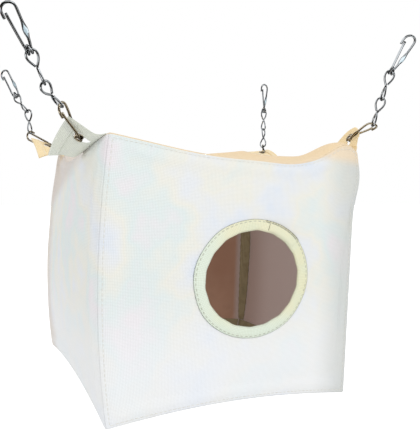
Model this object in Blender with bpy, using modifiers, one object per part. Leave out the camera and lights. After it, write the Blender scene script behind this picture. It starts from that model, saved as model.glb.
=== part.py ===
"""Canvas pet cubby: a sewn canvas cube with a round bound entry, hung by its four top corners.

Each top corner has a canvas tab with a hole. A wire snap straddles the tab with its coil in the
hole, two double loop chain links follow, and an upper wire snap ends the chain, ready to be
clipped over a cage bar. Metres, +Z up. The origin is the middle of the cube's floor.
"""
import math

import bmesh
import bpy
from mathutils import Matrix, Vector

MM = 0.001
WELD = 0.01 * MM

# The sewn cube
CUBE = 254 * MM
CANVAS = 1.2 * MM
CLEARANCE = 0.3 * MM
PANEL_CELLS = 12

# How the hung canvas gives: top edges and floor edges bow, walls swell
FRONT_TOP_SAG = 12 * MM
BACK_TOP_SAG = 12 * MM
LEFT_TOP_SAG = 19 * MM
RIGHT_TOP_SAG = 6 * MM
FLOOR_EDGE_RISE = 10 * MM
LEFT_WALL_BOW = 9 * MM
LEFT_WALL_SWELL = 6 * MM
LEFT_REAR_FLARE = 9 * MM
LEFT_TOP_FLARE = 26 * MM
RIGHT_WALL_SWELL = 4 * MM
FRONT_SWELL = 5 * MM
BACK_SWELL = 5 * MM
SAG_POWER = 2.5
SAG_DEPTH_POWER = 4
FLOOR_RIM_CELLS = 2

# The entry and its binding
ENTRY_DIAMETER = 97 * MM
ENTRY_RIGHT_OF_MIDDLE = 12 * MM
ENTRY_HEIGHT = 130 * MM
BINDING_WIDTH = 11.5 * MM
BINDING_TAPE = 0.9 * MM
BINDING_STEPS = 36
CUTTER_OVERRUN = 6 * MM

# Tape over the seam allowances inside the cube
TAPE_WIDTH = 10 * MM
TAPE_THICKNESS = 1.4 * MM

# Corner tabs
TAB_WIDTH = 42 * MM
TAB_LENGTH = 35 * MM
TAB_THICKNESS = 1.4 * MM
HEM_WIDTH = 9 * MM
HEM_THICKNESS = 2 * MM
TAB_HOLE_DIAMETER = 10 * MM
TAB_HOLE_TIP = 3.5 * MM
TAB_COIL_ALONG = 14 * MM
TAB_COIL_OUT = 18 * MM
TAB_HOLE_STEPS = 14
TAB_FROM_CORNER = 4 * MM
TAB_DROOP = 12 * MM
TAB_CELLS = 9

# Wire snaps
SNAP_WIRE = 2.2 * MM
SNAP_LENGTH = 42 * MM
SNAP_WIDTH = 13 * MM
EYE_DIAMETER = 8.6 * MM
NOSE_LENGTH = 4.5 * MM
GATE_TOP_BELOW_CROWN = 7 * MM
PAD_WIDTH = 4.6 * MM
PAD_THICKNESS = 1.1 * MM
PAD_LENGTH = 12 * MM
PAD_CENTRE_SHARE = 0.43
SPINE_SPREAD_POWER = 0.5
COIL_TURNS = 1.5
COIL_STEPS = 16
CROWN_STEPS = 9
SPINE_STEPS = 8

# Chain links
LINK_WIRE = 2 * MM
LINK_LENGTH = 31 * MM
LINK_WIDTH = 11 * MM
LINK_END_GAP = 0.8 * MM
LOOP_WIDEST_SHARE = 0.77
LOOP_STEPS = 12

# Between a wire and the bend that it hangs in
HANGING_GAP = 0.55 * MM

WIRE_SIDES_RESOLUTION = 2

# Edges sharper than this, in degrees, stay sharp
SEWN_EDGE_ANGLE = 40
WIRE_EDGE_ANGLE = 60

# Angles, in degrees, of each corner as it hangs: the chain's heading seen from above, the slopes
# of the lower snap, both links and the upper snap, the twist of each link in the bend that carries
# it, and the heading and slope of the tab's root
CORNERS = {
    "front_left": {
        "side": (-1, -1),
        "heading": -134,
        "slopes": (44, 33, 51, 48),
        "twists": (-24, -24),
        "root": (107, -26),
    },
    "front_right": {
        "side": (1, -1),
        "heading": -86,
        "slopes": (21, 67, 68, 50),
        "twists": (0, 0),
        "root": (91, -12),
    },
    "back_left": {
        "side": (-1, 1),
        "heading": 127,
        "slopes": (20, 82, 46, 55),
        "twists": (15, 0),
        "root": (-84, -16),
    },
    "back_right": {
        "side": (1, 1),
        "heading": 60,
        "slopes": (10, 67, 90, 92),
        "twists": (-25, -25),
        "root": (-90, -8),
    },
}

HALF = CUBE / 2
WIRE_ALLOWANCE = SNAP_WIRE / 2 + LINK_WIRE / 2 + HANGING_GAP
LINK_ALLOWANCE = LINK_WIRE + HANGING_GAP


def material(name, colour, roughness, metallic=0.0):
    """A plain Principled material."""
    made = bpy.data.materials.new(name)
    made.use_nodes = True
    shader = made.node_tree.nodes["Principled BSDF"]
    shader.inputs["Base Color"].default_value = (*colour, 1.0)
    shader.inputs["Roughness"].default_value = roughness
    shader.inputs["Metallic"].default_value = metallic
    return made


def collection(name):
    """A collection linked to the scene."""
    made = bpy.data.collections.new(name)
    bpy.context.scene.collection.children.link(made)
    return made


def add_object(name, data, into, look=None):
    """An object with its material, in its collection."""
    made = bpy.data.objects.new(name, data)
    into.objects.link(made)
    if look:
        data.materials.append(look)
    return made


def evaluated_mesh(source):
    """The mesh that an object has after its modifiers, with a curve's caps welded."""
    graph = bpy.context.evaluated_depsgraph_get()
    mesh = bpy.data.meshes.new_from_object(source.evaluated_get(graph))
    grid = bmesh.new()
    grid.from_mesh(mesh)
    bmesh.ops.remove_doubles(grid, verts=grid.verts, dist=WELD)
    bmesh.ops.recalc_face_normals(grid, faces=grid.faces)
    grid.to_mesh(mesh)
    grid.free()
    return mesh


def bow(share, power):
    """1 in the middle of an edge and 0 at both of its ends, for a share from -1 to 1."""
    return 1 - abs(share) ** power


def rim(share):
    """0 over the middle of the floor, rising to 1 at its edge, for a share from -1 to 1."""
    width = 2 * FLOOR_RIM_CELLS / PANEL_CELLS
    return min(max(0.0, (abs(share) - (1 - width)) / width), 1.0)


def hung(point):
    """Where a point of the cube as sewn lies once the cube hangs by its top corners."""
    x, y, z = point
    across, deep, high = x / HALF, y / HALF, z / CUBE
    sag = (1 - deep) / 2 * FRONT_TOP_SAG * bow(across, SAG_POWER)
    sag += (1 + deep) / 2 * BACK_TOP_SAG * bow(across, SAG_POWER)
    sag += (1 - across) / 2 * LEFT_TOP_SAG * bow(deep, SAG_POWER)
    sag += (1 + across) / 2 * RIGHT_TOP_SAG * bow(deep, SAG_POWER)
    rise = FLOOR_EDGE_RISE * (bow(across, 2) * rim(deep) + bow(deep, 2) * rim(across))
    swell = 4 * high * (1 - high)
    left = max(0.0, -across)
    right = max(0.0, across)
    out = right * RIGHT_WALL_SWELL * bow(deep, 2) * swell
    out -= left**2 * (LEFT_WALL_BOW + LEFT_WALL_SWELL * bow(deep, 2)) * swell
    out -= left * LEFT_REAR_FLARE * (1 + deep) / 2 * (1 - high)
    out -= left**2 * LEFT_TOP_FLARE * bow(deep, 2) * (1 - deep) / 2 * high**SAG_DEPTH_POWER
    forward = max(0.0, -deep) * FRONT_SWELL * bow(across, 2) * swell
    backward = max(0.0, deep) * BACK_SWELL * bow(across, 2) * swell
    return Vector((x + out, y + backward - forward, z - sag * high**SAG_DEPTH_POWER + rise * (1 - high) ** 4))


def hang_mesh(grid):
    """Moves every vertex of a bmesh from the cube as sewn to the cube as hung."""
    for vertex in grid.verts:
        vertex.co = hung(vertex.co)


def finish(grid, name, look, into):
    """An object from a bmesh with its faces turned out."""
    bmesh.ops.recalc_face_normals(grid, faces=grid.faces)
    mesh = bpy.data.meshes.new(name)
    grid.to_mesh(mesh)
    grid.free()
    mesh.shade_smooth()
    mesh.set_sharp_from_angle(angle=math.radians(SEWN_EDGE_ANGLE))
    return add_object(name, mesh, into, look)


def panel(name, facing, look, into):
    """One canvas panel: a mitred slab on one side of the cube, then hung."""
    grid = bmesh.new()
    half = HALF - CLEARANCE / 2
    bmesh.ops.create_grid(grid, x_segments=PANEL_CELLS, y_segments=PANEL_CELLS, size=half)
    out = bmesh.ops.extrude_face_region(grid, geom=grid.faces[:])
    inner = [item for item in out["geom"] if isinstance(item, bmesh.types.BMVert)]
    shrink = (half - CANVAS) / half
    for vertex in inner:
        vertex.co = Vector((vertex.co.x * shrink, vertex.co.y * shrink, -CANVAS))
    turn = Vector((0, 0, 1)).rotation_difference(Vector(facing)).to_matrix().to_4x4()
    centre = Matrix.Translation((0, 0, HALF))
    bmesh.ops.transform(grid, matrix=centre @ turn @ Matrix.Translation((0, 0, HALF)), verts=grid.verts)
    hang_mesh(grid)
    return finish(grid, name, look, into)


def entry_place(grid):
    """Turns a form made round Z to the entry in the front panel, then hangs it."""
    to_front = Matrix.Rotation(math.radians(90), 4, "X")
    to_entry = Matrix.Translation((ENTRY_RIGHT_OF_MIDDLE, -HALF, ENTRY_HEIGHT))
    bmesh.ops.transform(grid, matrix=to_entry @ to_front, verts=grid.verts)
    hang_mesh(grid)


def cut_entry(front, cutters):
    """Cuts the round entry through the front panel."""
    grid = bmesh.new()
    radius = ENTRY_DIAMETER / 2 + BINDING_TAPE + CLEARANCE
    bmesh.ops.create_cone(
        grid,
        cap_ends=True,
        segments=BINDING_STEPS,
        radius1=radius,
        radius2=radius,
        depth=CUTTER_OVERRUN,
    )
    entry_place(grid)
    cutter = finish(grid, "entry_cutter", None, cutters)
    cutter.hide_render = True
    cutter.display_type = "WIRE"
    cut = front.modifiers.new("entry", "BOOLEAN")
    cut.operation = "DIFFERENCE"
    cut.solver = "EXACT"
    cut.object = cutter


def entry_binding(look, into):
    """Bias tape folded over the entry's edge: a U profile turned round the entry."""
    inner = ENTRY_DIAMETER / 2
    outer = inner + BINDING_WIDTH
    web = inner + BINDING_TAPE
    face = CLEARANCE
    back = -CANVAS - CLEARANCE
    profile = [
        (outer, face + BINDING_TAPE),
        (outer, face),
        (web, face),
        (web, back),
        (outer, back),
        (outer, back - BINDING_TAPE),
        (inner + BINDING_TAPE / 2, back - BINDING_TAPE),
        (inner, back),
        (inner, face),
        (inner + BINDING_TAPE / 2, face + BINDING_TAPE),
    ]
    grid = bmesh.new()
    ring = [grid.verts.new((radius, 0, height)) for radius, height in profile]
    for near, far in zip(ring, ring[1:] + ring[:1]):
        grid.edges.new((near, far))
    mesh = bpy.data.meshes.new("entry_profile")
    grid.to_mesh(mesh)
    grid.free()
    guide = add_object("entry_profile", mesh, into)
    turned = guide.modifiers.new("turn", "SCREW")
    turned.angle = math.radians(360)
    turned.steps = BINDING_STEPS
    turned.render_steps = BINDING_STEPS
    turned.use_merge_vertices = True
    turned.merge_threshold = WELD
    whole = evaluated_mesh(guide)
    bpy.data.objects.remove(guide)
    grid = bmesh.new()
    grid.from_mesh(whole)
    bpy.data.meshes.remove(whole)
    entry_place(grid)
    return finish(grid, "entry_binding", look, into)


def tape(name, low, high, look, into):
    """A flat strip between two corners of a box, split along its length, then hung."""
    grid = bmesh.new()
    bmesh.ops.create_cube(grid, size=1)
    size = Vector(high) - Vector(low)
    middle = (Vector(high) + Vector(low)) / 2
    for vertex in grid.verts:
        vertex.co = Vector(c * s for c, s in zip(vertex.co, size)) + middle
    longest = max(range(3), key=lambda axis: size[axis])
    direction = Vector((0, 0, 0))
    direction[longest] = 1
    for step in range(1, PANEL_CELLS):
        place = Vector(low)
        place[longest] += size[longest] * step / PANEL_CELLS
        bmesh.ops.bisect_plane(
            grid, geom=grid.verts[:] + grid.edges[:] + grid.faces[:], plane_co=place, plane_no=direction
        )
    hang_mesh(grid)
    return finish(grid, name, look, into)


def seam_tapes(look, into):
    """Tape over each of the twelve seams inside the cube, laid on the walls."""
    wall = HALF - CANVAS - CLEARANCE
    skin = wall - TAPE_THICKNESS
    end = wall - TAPE_WIDTH
    floor = CANVAS + CLEARANCE
    roof = CUBE - CANVAS - CLEARANCE
    low = floor + TAPE_WIDTH + CLEARANCE
    high = roof - TAPE_WIDTH - CLEARANCE
    made = []
    for side, x in (("left", -1), ("right", 1)):
        for depth, y in (("front", -1), ("back", 1)):
            near = (min(x * skin, x * wall), min(y * end, y * wall), low)
            far = (max(x * skin, x * wall), max(y * end, y * wall), high)
            made.append(tape("seam_tape_" + depth + "_" + side, near, far, look, into))
    across = skin - CLEARANCE
    for level, bottom, top in (("top", roof - TAPE_WIDTH, roof), ("floor", floor, floor + TAPE_WIDTH)):
        for depth, y in (("front", -1), ("back", 1)):
            near = (-across, min(y * skin, y * wall), bottom)
            far = (across, max(y * skin, y * wall), top)
            made.append(tape("seam_tape_" + level + "_" + depth, near, far, look, into))
        for side, x in (("left", -1), ("right", 1)):
            near = (min(x * skin, x * wall), -wall, bottom)
            far = (max(x * skin, x * wall), wall, top)
            made.append(tape("seam_tape_" + level + "_" + side, near, far, look, into))
    return made


def heading(azimuth, slope):
    """A unit direction from a heading seen from above and a slope, both in degrees."""
    turn = math.radians(azimuth)
    lift = math.radians(slope)
    return Vector((math.cos(turn) * math.cos(lift), math.sin(turn) * math.cos(lift), math.sin(lift)))


def square_to(vector, axis):
    """The vector's unit part square to an axis."""
    return (vector - axis * vector.dot(axis)).normalized()


def frame(origin, across, along):
    """A placement whose X is across and whose Z is along."""
    third = along.cross(across)
    turn = Matrix((across, third, along)).transposed().to_4x4()
    return Matrix.Translation(origin) @ turn


def twisted(across, along, degrees):
    """A direction turned round the one that a link hangs along."""
    return Matrix.Rotation(math.radians(degrees), 3, along) @ across


def seat(centre, radius, plane, direction):
    """Where a pull in a direction comes to rest in a round bend, and the bend's direction there."""
    reach = square_to(direction, plane)
    return centre + reach * radius, reach.cross(plane)


class Corner:
    """Where one corner's tab, snaps and links lie, worked out from the cube and the angles."""

    def __init__(self, name):
        angles = CORNERS[name]
        self.name = name
        self.side_x, self.side_y = angles["side"]
        lower, first, second, upper = (heading(angles["heading"], slope) for slope in angles["slopes"])
        self.root = heading(*angles["root"])
        self.out = square_to(lower, self.root)
        normal = self.root.cross(self.out)
        if normal.y < 0:
            normal = -normal
        self.coil = self.tab_point(TAB_COIL_ALONG, TAB_COIL_OUT)
        self.lower_snap = frame(self.coil, normal, lower)
        crown, middle, _, _, _ = snap_width_places()
        bend = self.coil + lower * (crown_height() - crown) + normal * middle
        self.crown, self.crown_axis = seat(bend, crown, lower.cross(normal), first)
        across = twisted(self.crown_axis, first, angles["twists"][0])
        self.lower_link = frame(self.crown, across, first)
        bend = self.crown + first * (link_pitch() - WIRE_ALLOWANCE - link_end_radius())
        self.joint, self.joint_axis = seat(bend, link_end_radius(), first.cross(across), second)
        across = twisted(self.joint_axis, second, angles["twists"][1])
        self.upper_link = frame(self.joint, across, second)
        bend = self.joint + second * (link_pitch() - LINK_ALLOWANCE - link_end_radius())
        self.hook, across = seat(bend, link_end_radius(), second.cross(across), upper)
        if across.x < 0:
            across = -across
        self.upper_snap = frame(self.hook, across, upper)

    def seam(self, along):
        """A point just outside the side seam at the top, a length along it from the corner."""
        y = self.side_y * (HALF - TAB_FROM_CORNER - along)
        edge = hung(Vector((self.side_x * HALF, y, CUBE)))
        return edge + Vector((self.side_x * (CLEARANCE + TAB_THICKNESS / 2), 0, 0))

    def tab_point(self, along, out):
        """A point of the tab: its root follows the seam and its far outer corner droops."""
        root = self.seam(0) + self.root * along
        hold = max(0.0, 1 - out / (TAB_COIL_OUT - TAB_HOLE_DIAMETER / 2))
        droop = TAB_DROOP * (along / TAB_WIDTH * out / TAB_LENGTH) ** 2
        return root + self.out * out + (self.seam(along) - root) * hold**2 - Vector((0, 0, droop))


def coil_radius():
    """The coil's radius at the middle of its wire."""
    return (EYE_DIAMETER - SNAP_WIRE) / 2


def crown_height():
    """From the coil's centre to the middle of the crown's wire."""
    return SNAP_LENGTH - EYE_DIAMETER / 2 - SNAP_WIRE / 2


def link_pitch():
    """Between the middles of the wire at a link's two ends."""
    return LINK_LENGTH - LINK_WIRE


def link_end_radius():
    """The radius of a link's round end, at the middle of its wire."""
    across = (LINK_WIDTH - LINK_WIRE) / 2 / LOOP_WIDEST_SHARE
    return across**2 / (link_pitch() / 4)


def eye_offset():
    """From the link's bend to the upper snap's coil centre, with both turns resting in the bend."""
    reach = link_end_radius()
    droop = reach - math.sqrt(reach**2 - ((coil_advance() + SNAP_WIRE) / 2) ** 2)
    return coil_radius() - WIRE_ALLOWANCE - droop


def tab_slab():
    """A flat slab from the seam to the outer edge, thicker over the hem and cut by rows and columns."""
    grid = bmesh.new()
    bmesh.ops.create_grid(grid, x_segments=TAB_CELLS, y_segments=TAB_CELLS, size=1)
    out = bmesh.ops.extrude_face_region(grid, geom=grid.faces[:])
    top = {item for item in out["geom"] if isinstance(item, bmesh.types.BMVert)}
    hem = TAB_LENGTH - HEM_WIDTH
    thin_rows = TAB_CELLS - 1
    rows = [hem * step / (thin_rows - 1) for step in range(thin_rows)]
    rows += [hem + HEM_THICKNESS / 2, TAB_LENGTH]
    for vertex in grid.verts:
        row = round((vertex.co.y + 1) / 2 * TAB_CELLS)
        thickness = HEM_THICKNESS if row >= thin_rows else TAB_THICKNESS
        side = 1 if vertex in top else -1
        vertex.co = Vector(((vertex.co.x + 1) / 2 * TAB_WIDTH, rows[row], side * thickness / 2))
    bmesh.ops.recalc_face_normals(grid, faces=grid.faces)
    mesh = bpy.data.meshes.new("tab_slab")
    grid.to_mesh(mesh)
    grid.free()
    return mesh


def tab_cutter(cutters):
    """The tab's hole: round where the coil pulls, drawn out to a tip towards the seam."""
    radius = TAB_HOLE_DIAMETER / 2
    curve = bpy.data.curves.new("tab_hole", "CURVE")
    curve.dimensions = "2D"
    curve.fill_mode = "BOTH"
    curve.extrude = CUTTER_OVERRUN
    reach = TAB_COIL_OUT - TAB_HOLE_TIP
    lie = math.asin(radius / reach)
    points = [(0, -reach)]
    for step in range(TAB_HOLE_STEPS + 1):
        turn = -lie + (math.pi + 2 * lie) * step / TAB_HOLE_STEPS
        points.append((radius * math.cos(turn), radius * math.sin(turn)))
    spline = curve.splines.new("POLY")
    spline.points.add(len(points) - 1)
    for point, (x, y) in zip(spline.points, points):
        point.co = (x, y, 0, 1)
    spline.use_cyclic_u = True
    guide = add_object("tab_hole", curve, cutters)
    mesh = evaluated_mesh(guide)
    bpy.data.objects.remove(guide)
    cutter = add_object("tab_hole_cutter", mesh, cutters)
    cutter.location = (TAB_COIL_ALONG, TAB_COIL_OUT, 0)
    cutter.hide_render = True
    cutter.display_type = "WIRE"
    return cutter


def flat_tab(cutters):
    """The tab as sewn, before it is pulled: a slab with its hole cut."""
    slab = add_object("tab_slab", tab_slab(), cutters)
    cut = slab.modifiers.new("hole", "BOOLEAN")
    cut.operation = "DIFFERENCE"
    cut.solver = "EXACT"
    cut.object = tab_cutter(cutters)
    bpy.context.view_layer.update()
    mesh = evaluated_mesh(slab)
    bpy.data.objects.remove(slab)
    return mesh


def tab(corner, flat, look, into):
    """A canvas tab sewn into the side seam, bent from its flat shape to how the snap pulls it."""
    mesh = flat.copy()
    mesh.name = "corner_tab_" + corner.name
    for vertex in mesh.vertices:
        along, out, height = vertex.co
        place = corner.tab_point(along, out)
        beside = corner.tab_point(along + CLEARANCE, out) - place
        beyond = corner.tab_point(along, out + CLEARANCE) - place
        vertex.co = place + beside.cross(beyond).normalized() * height
    return add_object("corner_tab_" + corner.name, mesh, into, look)


def wire_mesh(name, points, diameter):
    """A closed mesh of round wire along points."""
    curve = bpy.data.curves.new(name, "CURVE")
    curve.dimensions = "3D"
    curve.bevel_depth = diameter / 2
    curve.bevel_resolution = WIRE_SIDES_RESOLUTION
    curve.use_fill_caps = True
    spline = curve.splines.new("POLY")
    spline.points.add(len(points) - 1)
    for point, place in zip(spline.points, points):
        point.co = (*place, 1)
    guide = bpy.data.objects.new(name, curve)
    bpy.context.scene.collection.objects.link(guide)
    mesh = evaluated_mesh(guide)
    bpy.data.objects.remove(guide)
    bpy.data.curves.remove(curve)
    mesh.shade_smooth()
    mesh.set_sharp_from_angle(angle=math.radians(WIRE_EDGE_ANGLE))
    return mesh


def coil_advance():
    """How far the coil moves sideways in one turn."""
    return SNAP_WIRE + 2 * CLEARANCE


def coil_half_width():
    """From the coil's middle to the middle of the wire at either end of its turns."""
    return coil_advance() * COIL_TURNS / 2


def snap_width_places():
    """The crown's radius and the places across the snap of its centre, spine, nose and gate tip."""
    radius = (SNAP_WIDTH - SNAP_WIRE) / 2
    tip = -(coil_radius() + CLEARANCE)
    nose = tip - SNAP_WIRE - CLEARANCE
    return radius, nose + radius, nose + 2 * radius, nose, tip


def spine_place(share):
    """Where the spine runs, a share of the way from the coil to the crown: across and sideways."""
    _, _, spine, _, _ = snap_width_places()
    across = coil_half_width() + (spine - coil_half_width()) * share**SPINE_SPREAD_POWER
    return across, coil_radius() * (1 + math.cos(math.pi * share)) / 2


def least_gap(points, diameter):
    """The least gap between stretches of a wire that lie over a half turn of its bend apart."""
    places = [Vector(point) for point in points]
    apart = SNAP_WIDTH / 2
    travelled = [0.0]
    for near, far in zip(places, places[1:]):
        travelled.append(travelled[-1] + (far - near).length)
    gaps = [
        (places[i] - places[j]).length - diameter
        for i in range(len(places))
        for j in range(i)
        if travelled[i] - travelled[j] > apart + diameter
    ]
    return min(gaps)


def snap_body_points(lift):
    """The snap's fixed wire: coil, spine, crown and nose, with the coil's centre at a height.

    The coil's axis runs across the snap, so that its two legs leave at the coil's two ends.
    """
    radius = coil_radius()
    start = math.pi + math.asin(CLEARANCE / radius)
    stop = math.pi + math.tau * COIL_TURNS
    points = []
    for step in range(COIL_STEPS + 1):
        turn = start + (stop - start) * step / COIL_STEPS
        across = -coil_half_width() + coil_advance() * (turn - math.pi) / math.tau
        points.append((across, radius * math.cos(turn), lift + radius * math.sin(turn)))
    crown, centre, _, nose, _ = snap_width_places()
    spring = crown_height() - crown
    for step in range(1, SPINE_STEPS):
        share = step / SPINE_STEPS
        points.append((*spine_place(share), lift + spring * share))
    for step in range(CROWN_STEPS + 1):
        turn = math.pi * step / CROWN_STEPS
        points.append((centre + crown * math.cos(turn), 0, lift + spring + crown * math.sin(turn)))
    points.append((nose, 0, lift + spring - NOSE_LENGTH))
    return points


def flatten_pad(mesh, lift):
    """Presses the lens shaped pad into the spine: wide in the snap's plane and thin across it."""
    crown, _, _, _, _ = snap_width_places()
    spring = crown_height() - crown
    middle = spring * PAD_CENTRE_SHARE
    for vertex in mesh.vertices:
        height = vertex.co.z - lift
        near = abs(height - middle) / (PAD_LENGTH / 2)
        if near < 1 and vertex.co.x > 0:
            centre_x, centre_y = spine_place(height / spring)
            lens = math.cos(near * math.pi / 2)
            wide = 1 + (PAD_WIDTH / SNAP_WIRE - 1) * lens
            thin = 1 + (PAD_THICKNESS / SNAP_WIRE - 1) * lens
            vertex.co.x = centre_x + (vertex.co.x - centre_x) * wide
            vertex.co.y = centre_y + (vertex.co.y - centre_y) * thin


def snap_gate_points(lift):
    """The snap's springy leg, from just above the coil's start to behind the nose."""
    _, _, _, _, tip = snap_width_places()
    top = crown_height() - GATE_TOP_BELOW_CROWN
    bottom = (-coil_half_width(), -coil_radius(), lift + CLEARANCE)
    return [bottom, (tip, 0, lift + top - NOSE_LENGTH), (tip, 0, lift + top)]


def snap(level, corner, place, lift, look, gate_look, into):
    """A wire snap as two pieces: the fixed wire and its springy gate leg."""
    body_mesh = wire_mesh("snap", snap_body_points(lift), SNAP_WIRE)
    flatten_pad(body_mesh, lift)
    body = add_object(level + "_snap_" + corner.name, body_mesh, into, look)
    body.matrix_world = place
    gate_mesh = wire_mesh("gate", snap_gate_points(0), SNAP_WIRE)
    gate = add_object(level + "_gate_" + corner.name, gate_mesh, into, gate_look)
    gate.matrix_world = place @ Matrix.Translation((0, 0, lift))
    return body, gate


def loop_point(turn):
    """One loop of a link, from the waist at turn 0 round its end and back: across and out."""
    across = (LINK_WIDTH - LINK_WIRE) / 2 / LOOP_WIDEST_SHARE
    reach = link_pitch() / 4
    return across * math.sin(turn) * math.sin(turn / 2), reach * (1 - math.cos(turn))


def link_points():
    """One unbroken wire: a loop in the YZ plane below the waist, then one in the XZ plane above.

    The lower loop's bend hangs just inside the bend of whatever carries the link.
    """
    reach = link_pitch() / 4
    open_turn = math.acos(1 - (LINK_WIRE / 2 + LINK_END_GAP + CLEARANCE) / reach)
    close_turn = math.tau - open_turn / 2
    waist = link_pitch() / 2
    points = []
    for step in range(LOOP_STEPS + 1):
        across, out = loop_point(open_turn + (close_turn - open_turn) * step / LOOP_STEPS)
        points.append((0, across, waist - out))
    for step in range(LOOP_STEPS + 1):
        across, out = loop_point(math.tau - close_turn + (close_turn - open_turn) * step / LOOP_STEPS)
        points.append((across, 0, waist + out))
    return points


def link(name, place, drop, look, into):
    """A double loop chain link whose lower bend lies a drop below its joint."""
    points = [(x, y, z - drop) for x, y, z in link_points()]
    made = add_object(name, wire_mesh("link", points, LINK_WIRE), into, look)
    made.matrix_world = place
    return made


def build():
    """Clears the file and makes the whole cubby."""
    for old in list(bpy.data.objects):
        bpy.data.objects.remove(old)
    parts = collection("canvas_pet_cubby")
    cutters = collection("cutters")
    canvas = material("canvas", (0.80, 0.80, 0.77), 0.9)
    binding = material("binding", (0.83, 0.84, 0.70), 0.9)
    seam = material("seam_tape", (0.28, 0.25, 0.18), 0.9)
    tab_canvas = material("tab_canvas", (0.66, 0.68, 0.60), 0.9)
    wire = material("snap_wire", (0.62, 0.58, 0.53), 0.25, 1.0)
    spring_wire = material("gate_wire", (0.62, 0.58, 0.53), 0.25, 1.0)
    chain = material("chain_wire", (0.50, 0.50, 0.50), 0.25, 1.0)

    front = panel("front_panel", (0, -1, 0), canvas, parts)
    cut_entry(front, cutters)
    panel("back_panel", (0, 1, 0), canvas, parts)
    panel("left_panel", (-1, 0, 0), canvas, parts)
    panel("right_panel", (1, 0, 0), canvas, parts)
    panel("top_panel", (0, 0, 1), canvas, parts)
    panel("floor_panel", (0, 0, -1), canvas, parts)
    entry_binding(binding, parts)
    seam_tapes(seam, parts)

    flat = flat_tab(cutters)
    for name in CORNERS:
        corner = Corner(name)
        tab(corner, flat, tab_canvas, parts)
        snap("lower", corner, corner.lower_snap, 0, wire, spring_wire, parts)
        link("lower_link_" + name, corner.lower_link, WIRE_ALLOWANCE, chain, parts)
        link("upper_link_" + name, corner.upper_link, LINK_ALLOWANCE, chain, parts)
        snap("upper", corner, corner.upper_snap, eye_offset(), wire, spring_wire, parts)
    print("least gap of the snap's wire to itself, mm:", least_gap(snap_body_points(0), SNAP_WIRE) / MM)
    print("least gap of the link's wire to itself, mm:", least_gap(link_points(), LINK_WIRE) / MM)


build()
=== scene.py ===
"""The canvas pet cubby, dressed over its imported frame. Metres, +Z up, the entry facing -Y."""
import math

import bpy
from mathutils import Matrix, Vector, noise


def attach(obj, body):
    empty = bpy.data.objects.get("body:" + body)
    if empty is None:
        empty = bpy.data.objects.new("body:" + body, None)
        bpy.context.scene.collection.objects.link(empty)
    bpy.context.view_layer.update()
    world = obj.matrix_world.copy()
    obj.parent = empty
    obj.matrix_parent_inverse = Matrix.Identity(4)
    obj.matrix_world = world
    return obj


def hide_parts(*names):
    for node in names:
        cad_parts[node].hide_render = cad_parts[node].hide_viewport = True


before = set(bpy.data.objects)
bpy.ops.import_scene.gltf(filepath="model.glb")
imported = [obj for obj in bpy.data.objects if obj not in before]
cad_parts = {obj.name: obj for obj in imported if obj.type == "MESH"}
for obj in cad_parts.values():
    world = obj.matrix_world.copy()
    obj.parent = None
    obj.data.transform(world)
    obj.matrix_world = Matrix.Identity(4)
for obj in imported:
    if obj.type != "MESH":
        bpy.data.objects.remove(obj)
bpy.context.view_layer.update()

# The camera. It looks at the front and the left side from a little above, about half a metre in
# front of the entry, and leans slightly to one side.
MM = 0.001
CUBE = 254 * MM
HALF = CUBE / 2
CAMERA_PLACE = (-0.949 * CUBE, -2.385 * CUBE, 0.937 * CUBE)
CAMERA_LENS = 47.15
CAMERA_TURN = math.radians(-23.51)
CAMERA_TIP = math.radians(90 - 5.77)
CAMERA_LEAN = math.radians(1.66)

bpy.ops.object.select_all(action="DESELECT")
bpy.ops.object.camera_add(location=CAMERA_PLACE)
camera = bpy.context.object
camera.name = "camera"
camera.data.lens = CAMERA_LENS
turned_left = Matrix.Rotation(CAMERA_TURN, 3, "Z")
tipped_down = Matrix.Rotation(CAMERA_TIP, 3, "X")
leaning = Matrix.Rotation(CAMERA_LEAN, 3, "Z")
camera.rotation_mode = "QUATERNION"
camera.rotation_quaternion = (turned_left @ tipped_down @ leaning).to_quaternion()
bpy.context.scene.camera = camera


# The studio. The cubby hangs above a pale painted floor in front of white paper. One wide lamp at
# the front right and an even sky of white light leave only soft shadows.
def paint(code):
    """The linear colour of an sRGB hex value."""
    parts = [int(code[place : place + 2], 16) / 255 for place in (1, 3, 5)]
    linear = [part / 12.92 if part <= 0.04045 else ((part + 0.055) / 1.055) ** 2.4 for part in parts]
    return (*linear, 1.0)


def add_node(tree, kind, feeds=None, **settings):
    """Adds a node with its settings. Each feed is an input's value, or the socket it comes from."""
    node = tree.nodes.new(kind)
    for name, value in settings.items():
        setattr(node, name, value)
    for place, feed in (feeds or {}).items():
        if isinstance(feed, bpy.types.NodeSocket):
            tree.links.new(feed, node.inputs[place])
        else:
            node.inputs[place].default_value = feed
    return node


def blank_material(name):
    """A material with an empty node tree and its output."""
    made = bpy.data.materials.new(name)
    made.use_nodes = True
    made.node_tree.nodes.clear()
    return made, made.node_tree, add_node(made.node_tree, "ShaderNodeOutputMaterial")


def seen_directly(tree):
    """1 for rays that come straight from the camera, or by way of a gloss or glass, and 0 otherwise."""
    path = add_node(tree, "ShaderNodeLightPath").outputs
    mirrored = add_node(tree, "ShaderNodeMath", {0: path["Is Camera Ray"], 1: path["Is Glossy Ray"]})
    every = {0: mirrored.outputs[0], 1: path["Is Transmission Ray"]}
    return add_node(tree, "ShaderNodeMath", every, use_clamp=True).outputs[0]


FLOOR_LEVEL = -300 * MM
FLOOR_SIDE = 12
FLOOR_GLOW = 0.5
SKY_STRENGTH = 0.97

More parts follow.
